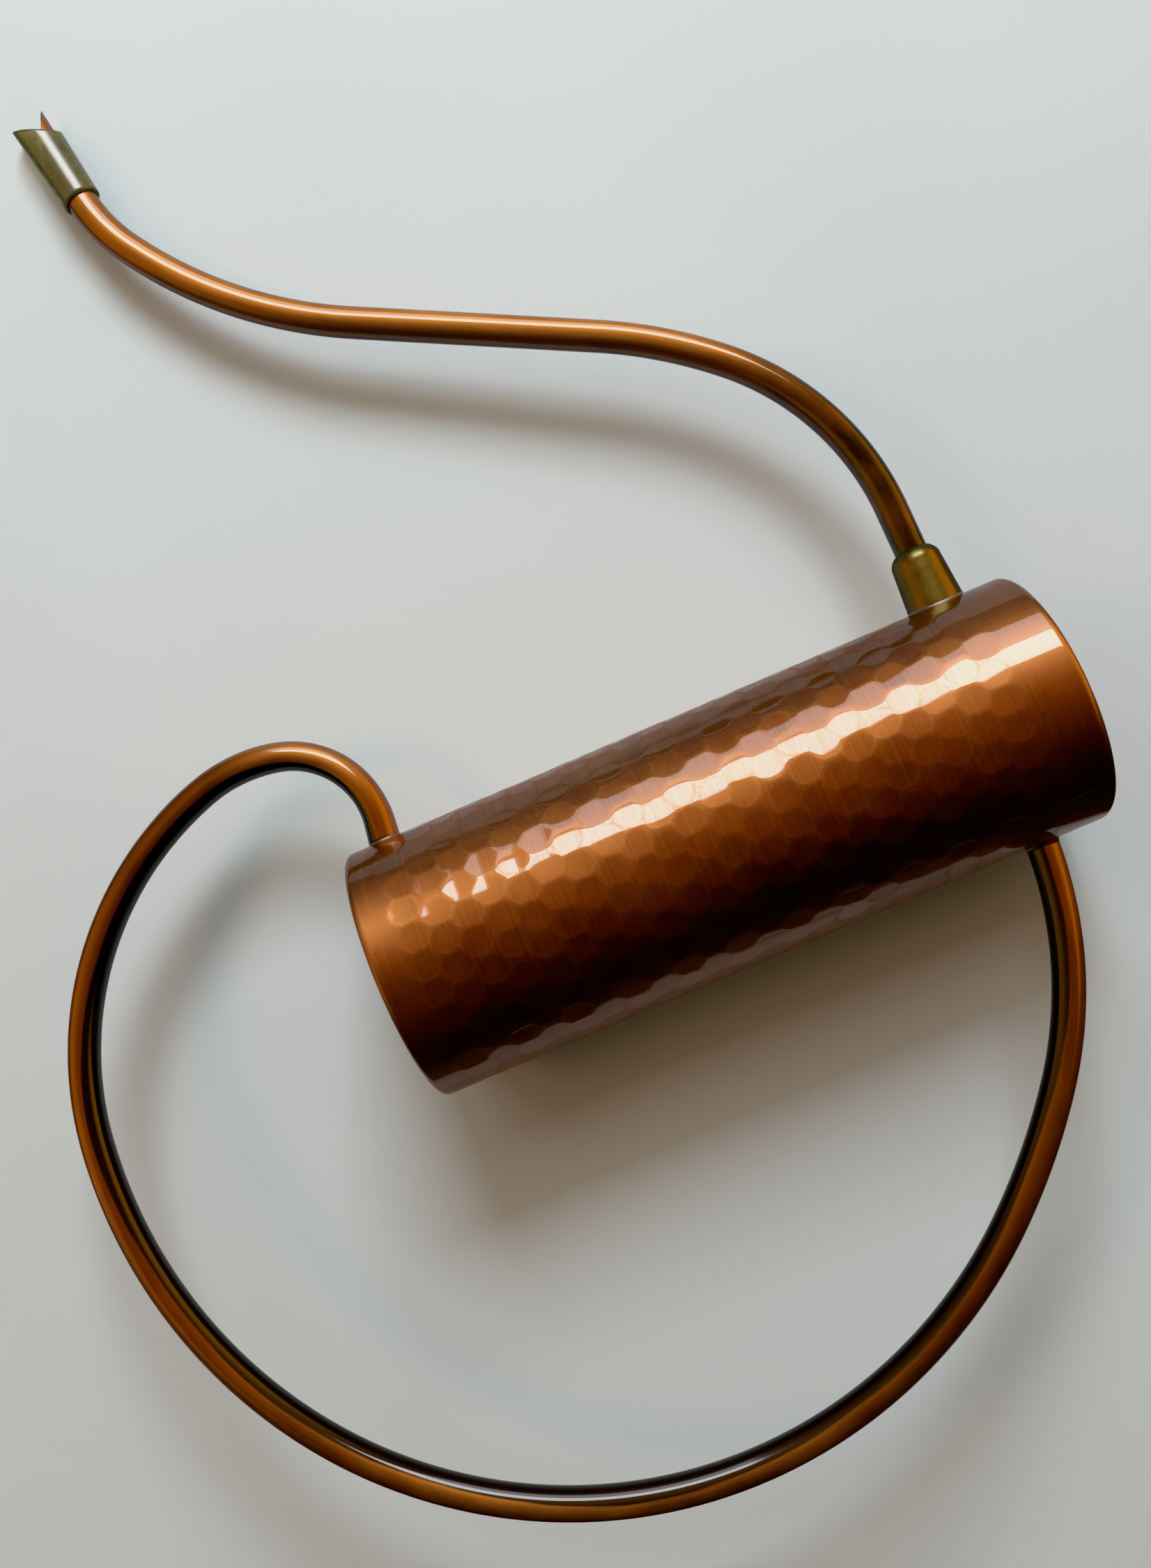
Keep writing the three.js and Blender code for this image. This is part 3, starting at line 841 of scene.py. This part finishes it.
def port_solder():
    """Solder inside the can, round the end of the spout."""
    inner = TUBE_RADIUS + SEAM_GAP
    depth = BODY_RADIUS - WALL - SPOUT_START
    end = -WALL - depth * 0.8
    profile = rounded(
        [
            (inner, end),
            (inner + 0.5 * MM, end),
            (inner + 1.8 * MM, -WALL - SEAM_GAP),
            (inner, -WALL - SEAM_GAP),
        ],
        0.2 * MM,
    )
    rings = turn_on_wall(profile, (BODY_RADIUS, 0, SPOUT_HEIGHT), 0, 72, 10 * MM)
    finish_piece("port_solder", rings, "spout_port_solder", "solder")


def sleeve():
    """The plastic sleeve on the tip: flared, and cut on a slant with its long side turned away."""
    around = 96
    angles = np.linspace(0, 2 * np.pi, around, endpoint=False)
    slant = math.tan(SLEEVE_SLANT)
    shares = np.linspace(0, 1, 30)
    full = SLEEVE_LENGTH + SLEEVE_FLARE

    def wall(base, far, share):
        end_radius = base + (far - base) * SLEEVE_LENGTH / full
        reach = SLEEVE_LENGTH + end_radius * np.sin(angles + SLEEVE_ROLL) * slant
        x = share * reach
        return x, base + (far - base) * (x / full)

    outer = [wall(SLEEVE_BASE, SLEEVE_FLARE, s) for s in shares]
    bore = SLEEVE_BASE - SLEEVE_WALL
    inner = [wall(bore, SLEEVE_FLARE - SLEEVE_FLARE_WALL, s) for s in shares[::-1]]
    (out_x, out_r), (in_x, in_r) = outer[-1], inner[0]
    lip = ((out_x + in_x) / 2 + SLEEVE_LIP, (out_r + in_r) / 2)
    ahead = np.array([math.cos(TIP_HEADING), 0, math.sin(TIP_HEADING)])
    above = np.array([-math.sin(TIP_HEADING), 0, math.cos(TIP_HEADING)])
    origin = np.array([TIP_POINT[0], 0, TIP_POINT[1]])
    rings = np.array(
        [
            origin
            + x[:, None] * ahead
            + (r * np.cos(angles))[:, None] * np.array([0, 1, 0])
            + (r * np.sin(angles))[:, None] * above
            for x, r in [*outer, lip, *inner]
        ]
    )
    finish_piece("sleeve", rings, "tip_sleeve", "sleeve_plastic", body="sleeve")


# ================================================================ camera, stage and light
def place_camera():
    camera = bpy.data.objects.new("camera", bpy.data.cameras.new("camera"))
    bpy.context.scene.collection.objects.link(camera)
    camera.data.lens = CAMERA_LENS
    camera.data.clip_start = 0.01
    ahead = Vector(
        (
            math.sin(CAMERA_TURN) * math.cos(CAMERA_TILT),
            math.cos(CAMERA_TURN) * math.cos(CAMERA_TILT),
            math.sin(CAMERA_TILT),
        )
    )
    level = ahead.to_track_quat("-Z", "Y").to_matrix().to_4x4()
    camera.matrix_world = (
        Matrix.Translation(CAMERA_PLACE) @ level @ Matrix.Rotation(-CAMERA_ROLL, 4, "Z")
    )
    bpy.context.scene.camera = camera


SLEEVE_END = TIP_POINT[0] + SLEEVE_LENGTH
CARD_LEAN = math.asin((BODY_RADIUS - SLEEVE_FLARE) / SLEEVE_END)
AWAY = Vector((math.sin(CARD_LEAN), math.cos(CARD_LEAN), 0))  # from the can's axis into the card
AHEAD = Vector((math.cos(CARD_LEAN), -math.sin(CARD_LEAN), 0))  # along the card towards the spout


def edge(n, place, way, half):
    """0 on the card that the metal mirrors, and 1 past its edges on either side of one direction."""
    along = n.add("ShaderNodeVectorMath", {"operation": "DOT_PRODUCT"})
    n.put(along, "0", place)
    along.inputs[1].default_value = way
    off = n.math("ABSOLUTE", n.math("SUBTRACT", along.outputs["Value"], way.dot(CARD_MIDDLE)))
    return n.level(off, 0.0, 1.0, half - CARD_EDGE, half + CARD_EDGE)


def card_material():
    """Pale card, seen from its front only: from behind it lets both sight and light through.

    The metal mirrors it darker than it is, and black past the edges of a card of the real size.
    """
    n = Nodes("card")
    place = n.add("ShaderNodeTexCoord").outputs["Object"]
    fibre = n.noise(place, 700.0, 4.0, 0.6)
    cloud = n.noise(place, 5.0, 2.0, 0.5)
    colour = n.mix(n.level(cloud, 0.0, 1.0, 0.35, 0.65), CARD_SHADE, CARD_WHITE)
    past_side = edge(n, place, CARD_ACROSS, CARD_HALF[0])
    past_end = edge(n, place, CARD_DOWN, CARD_HALF[1])
    rays = n.add("ShaderNodeLightPath")
    dimmed = n.level(n.math("MAXIMUM", past_side, past_end), MIRRORED_CARD, 1.0)
    colour = n.mix(n.math("MULTIPLY", dimmed, rays.outputs["Is Glossy Ray"]), colour, PAST_CARD)
    n.shade(Base_Color=colour, Roughness=0.75, Specular_IOR_Level=0.2)
    n.shade(Normal=n.bump(fibre, 0.06, 0.0002))
    back = n.add("ShaderNodeNewGeometry").outputs["Backfacing"]
    from_behind = n.math("GREATER_THAN", rays.outputs["Transparent Depth"], 0.5)
    mixed = n.add("ShaderNodeMixShader")
    n.put(mixed, "0", n.math("MAXIMUM", back, from_behind))
    n.put(mixed, "1", n.shader.outputs[0])
    n.put(mixed, "2", n.add("ShaderNodeBsdfTransparent").outputs[0])
    n.put(n.tree.nodes["Material Output"], "Surface", mixed.outputs[0])
    return n.material


def card():
    """The stage: one flat card, far larger than the view, that touches the cylinder's back."""
    centre = AWAY * (BODY_RADIUS + CARD_GAP) + Vector((0, 0, BODY_HEIGHT * 0.6)) + AHEAD * 50 * MM
    along = AHEAD * CARD_SIZE / 2
    up = Vector((0, 0, CARD_SIZE / 2))
    corners = [centre - along - up, centre + along - up, centre + along + up, centre - along + up]
    mesh = bpy.data.meshes.new("card")
    mesh.from_pydata([tuple(c) for c in corners], [], [(0, 1, 2, 3)])
    mesh.update()
    if mesh.polygons[0].normal.dot(AWAY) > 0:
        mesh.flip_normals()
    mesh.materials.append(card_material())
    piece = bpy.data.objects.new("card", mesh)
    bpy.context.scene.collection.objects.link(piece)


def round_axis(angle, rise=0.0):
    """A direction at an angle round the can's axis, from the card's normal towards the spout."""
    flat = -AWAY * math.cos(angle) + AHEAD * math.sin(angle)
    return flat * math.cos(rise) + Vector((0, 0, math.sin(rise)))


def area_light(name, angle, rise, spread, radiance, colour):
    """A soft box aimed at the can. spread is how wide it looks, round the can's axis and along it."""
    angle, rise = math.radians(angle), math.radians(rise)
    light = bpy.data.lights.new(name, "AREA")
    light.shape = "RECTANGLE"
    light.size = 2 * LIGHT_DISTANCE * math.tan(math.radians(spread[0] / 2))
    light.size_y = 2 * LIGHT_DISTANCE * math.tan(math.radians(spread[1] / 2))
    light.energy = radiance * math.pi * light.size * light.size_y
    light.color = colour
    lamp = bpy.data.objects.new(name, light)
    facing = round_axis(angle, rise)
    side = round_axis(angle + math.pi / 2)
    up = facing.cross(side)
    place = Vector((0, 0, BODY_HEIGHT / 2)) + facing * LIGHT_DISTANCE
    turned = Matrix((side, up, facing)).transposed().to_4x4()
    lamp.matrix_world = Matrix.Translation(place) @ turned
    lamp.visible_camera = False
    bpy.context.scene.collection.objects.link(lamp)
    return lamp


def light_stage():
    """A window and its curtain for the metal to mirror, and three lights for everything else."""
    mirrored = [
        area_light("window", 50, -11.5, (17, 37), 12.0, (0.92, 0.93, 1.0)),
        area_light("curtain", 69, -11.5, (19, 37), 3.4, (0.86, 0.88, 1.0)),
    ]
    cast = [
        area_light("daylight", 51, -11.5, (18, 24), 17.6, (0.79, 0.89, 1.0)),
        area_light("ceiling", 34, 10, (14, 40), 2.4, (0.90, 0.90, 0.92)),
        area_light("lamp", 20, 39, (14, 14), 4.6, (1.0, 0.56, 0.38)),
    ]
    for lamp in mirrored:
        lamp.visible_diffuse = False
    for lamp in cast:
        lamp.visible_glossy = False


# what the metal mirrors, by degrees round the can's axis from the card's normal to the spout
ROOM = [
    (-180, (1.5, 1.5, 1.5)),
    (-150, (2.6, 2.6, 2.6)),
    (-110, (0.9, 0.9, 0.9)),
    (-93, (0.0, 0.0, 0.0)),
    (-52, (0.0, 0.0, 0.0)),
    (-36, (0.015, 0.003, 0.0)),
    (-26, (0.08, 0.020, 0.001)),
    (0, (0.155, 0.045, 0.003)),
    (16, (0.43, 0.145, 0.012)),
    (32, (0.86, 0.38, 0.040)),
    (66, (0.34, 0.14, 0.025)),
    (92, (0.22, 0.065, 0.004)),
    (104, (1.2, 1.2, 1.2)),
    (150, (2.6, 2.6, 2.6)),
]
# the light that the same room casts
GLOW = [
    (-180, (1.6, 1.6, 1.6)),
    (-105, (0.9, 0.9, 0.9)),
    (-92, (0.035, 0.022, 0.012)),
    (-20, (0.08, 0.050, 0.025)),
    (15, (0.16, 0.120, 0.060)),
    (40, (0.20, 0.160, 0.090)),
    (95, (0.14, 0.12, 0.080)),
    (180, (1.6, 1.6, 1.6)),
]
BACKDROP = (0.78, 0.80, 0.81, 1)
# warm walls off the base end and the mouth end, mirrored except where the room is black
END_WALLS = ((-1, (2.4, 1.0, 0.06)), (1, (1.15, 0.52, 0.05)))
WALL_FADE = (0.58, 0.88)  # how far a direction points along the can's axis
SIDE_FADE = (0.35, 0.43)  # as shares of a whole turn, from the card's back round past its front


def paint(ramp, stops):
    """Sets a colour ramp's stops from (degrees round the can's axis, colour) pairs."""
    elements = ramp.color_ramp.elements
    while len(elements) < len(stops):
        elements.new(0.5)
    for element, (degrees, colour) in zip(elements, stops):
        element.position = (degrees + 180) / 360
        element.color = (*colour, 1)


def world():
    """A dim room for the metal to mirror, its glow for other surfaces, and a pale backdrop."""
    scene = bpy.context.scene
    scene.world = bpy.data.worlds.new("room")
    scene.world.use_nodes = True
    tree = scene.world.node_tree
    tree.nodes.clear()

    def add(kind, **settings):
        node = tree.nodes.new(kind)
        for key, value in settings.items():
            setattr(node, key, value)
        return node

    def put(value, socket):
        if isinstance(value, bpy.types.NodeSocket):
            tree.links.new(value, socket)
        else:
            socket.default_value = value

    def dot(vector):
        node = add("ShaderNodeVectorMath", operation="DOT_PRODUCT")
        put(place.outputs["Generated"], node.inputs[0])
        put(vector, node.inputs[1])
        return node.outputs["Value"]

    def share(value, low, high, interpolation="SMOOTHSTEP"):
        """0 where a value is at low and 1 where it is at high."""
        node = add("ShaderNodeMapRange", interpolation_type=interpolation)
        put(low, node.inputs["From Min"])
        put(high, node.inputs["From Max"])
        put(value, node.inputs["Value"])
        return node.outputs["Result"]

    def ramp(stops):
        node = add("ShaderNodeValToRGB")
        paint(node, stops)
        put(turn, node.inputs["Fac"])
        return node.outputs["Color"]

    def with_end_walls(colour):
        side = share(turn, *SIDE_FADE)
        for way, wall in END_WALLS:
            both = add("ShaderNodeMath", operation="MULTIPLY")
            put(share(dot((0, 0, way)), *WALL_FADE), both.inputs[0])
            put(side, both.inputs[1])
            mixed = add("ShaderNodeMix", data_type="RGBA")
            put(both.outputs[0], mixed.inputs[0])
            put(colour, mixed.inputs[6])
            put((*wall, 1), mixed.inputs[7])
            colour = mixed.outputs[2]
        return colour

    def background(colour):
        node = add("ShaderNodeBackground")
        put(colour, node.inputs["Color"])
        return node.outputs[0]

    def choose(factor, otherwise, chosen):
        node = add("ShaderNodeMixShader")
        for value, socket in zip((factor, otherwise, chosen), node.inputs):
            put(value, socket)
        return node.outputs[0]

    place = add("ShaderNodeTexCoord")
    angle = add("ShaderNodeMath", operation="ARCTAN2")
    put(dot(AHEAD), angle.inputs[0])
    put(dot(-AWAY), angle.inputs[1])
    turn = share(angle.outputs[0], -math.pi, math.pi, "LINEAR")
    rays = add("ShaderNodeLightPath")
    mirrored = background(with_end_walls(ramp(ROOM)))
    unseen = choose(rays.outputs["Is Glossy Ray"], background(ramp(GLOW)), mirrored)
    seen = choose(rays.outputs["Is Camera Ray"], unseen, background(BACKDROP))
    put(seen, add("ShaderNodeOutputWorld").inputs["Surface"])


BLACKS = [(0.0, 0.0), (0.004, 0.001), (0.012, 0.009), (0.04, 0.038)]
WHITES = [(0.5, 0.5), (0.85, 0.815), (1.4, 0.95)]
RESPONSE = BLACKS + WHITES


def respond():
    """A camera's response: plain display colours with deep blacks and rolled-off whites."""
    view = bpy.context.scene.view_settings
    view.view_transform = "Standard"
    view.use_curve_mapping = True
    mapping = view.curve_mapping
    mapping.use_clip = False
    mapping.extend = "HORIZONTAL"
    curve = mapping.curves[3]
    while len(curve.points) < len(RESPONSE):
        curve.points.new(0.5, 0.5)
    for point, place in zip(curve.points, RESPONSE):
        point.location = place
        point.handle_type = "AUTO_CLAMPED"
    mapping.update()


# ================================================================ build
place_camera()
respond()
world()
card()
light_stage()

body_shell()
base_plate()
base_seam()
handle()
solder_ring(
    "front_joint",
    "handle_front_solder",
    (BODY_RADIUS, 0, HANDLE_TOP),
    math.radians(HANDLE_HEADING),
    TUBE_RADIUS,
)
solder_ring(
    "rear_joint",
    "handle_rear_solder",
    (HANDLE.end[0], 0, HANDLE.end[1]),
    HANDLE.heading + math.pi,
    TUBE_RADIUS,
)
spout()
ferrule()
solder_ring("ferrule_joint", "ferrule_solder", (BODY_RADIUS, 0, SPOUT_HEIGHT), 0, FERRULE_FOOT)
port_solder()
sleeve()
